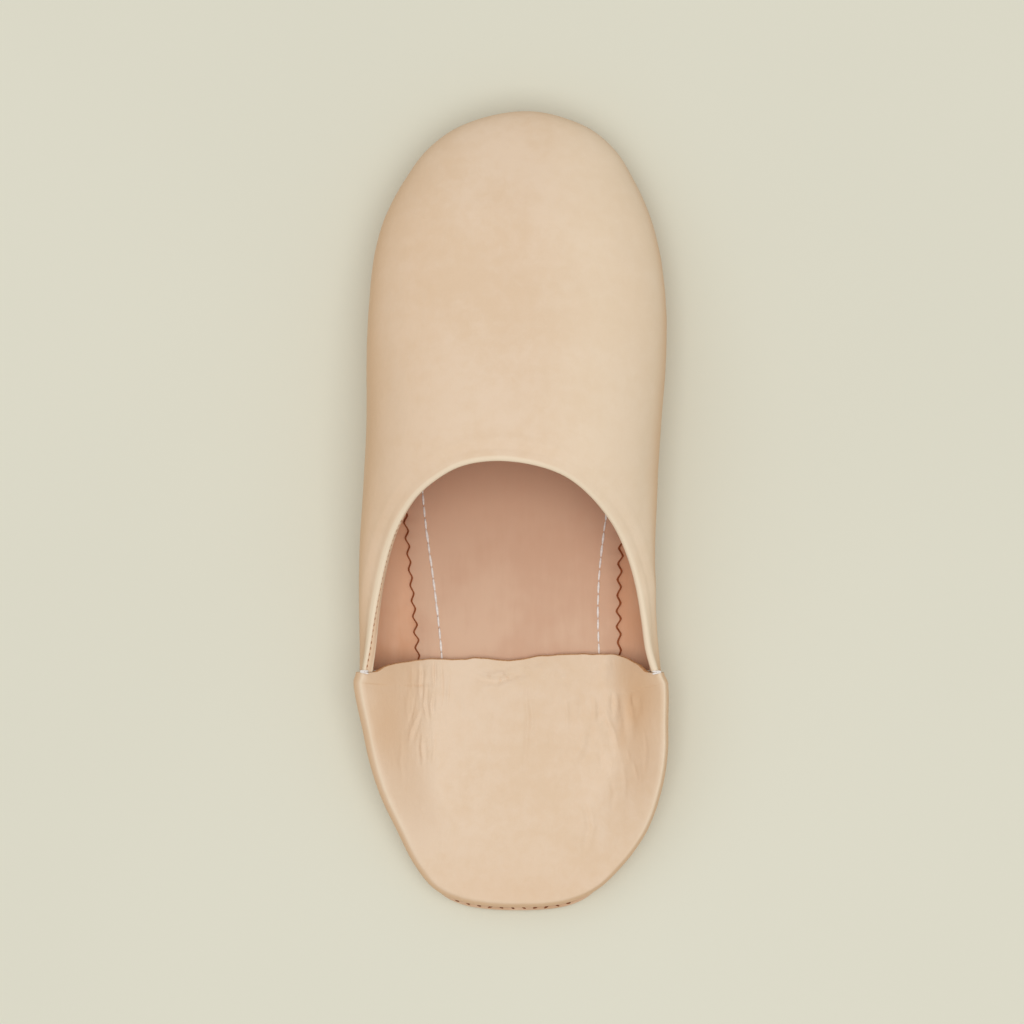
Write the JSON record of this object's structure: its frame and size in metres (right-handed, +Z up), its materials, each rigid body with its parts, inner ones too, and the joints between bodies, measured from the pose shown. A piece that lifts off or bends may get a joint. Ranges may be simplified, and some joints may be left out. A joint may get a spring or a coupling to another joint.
{
  "type": "babouche slipper",
  "caption": "Flat leather slipper for the left foot, with a round toe and its heel back folded down onto the footbed.",
  "frame": {"origin": "centre of the slipper's box, at the height of the floor", "axes": "+Z up, +Y towards the toe, +X towards the inner side of the left foot"},
  "size_m": [0.1, 0.2548, 0.0504],
  "materials": {
    "sole_leather": "smooth, waxed",
    "insole_board": "matte",
    "sock_leather": "smooth, matte",
    "upper_leather": "soft, fine grain, slight sheen"
  },
  "bodies": {
    "root": {"outsole": "sole_leather", "insole": "insole_board", "sock": "sock_leather", "upper_vamp": "upper_leather", "upper_back": "upper_leather"}
  },
  "joints": []
}
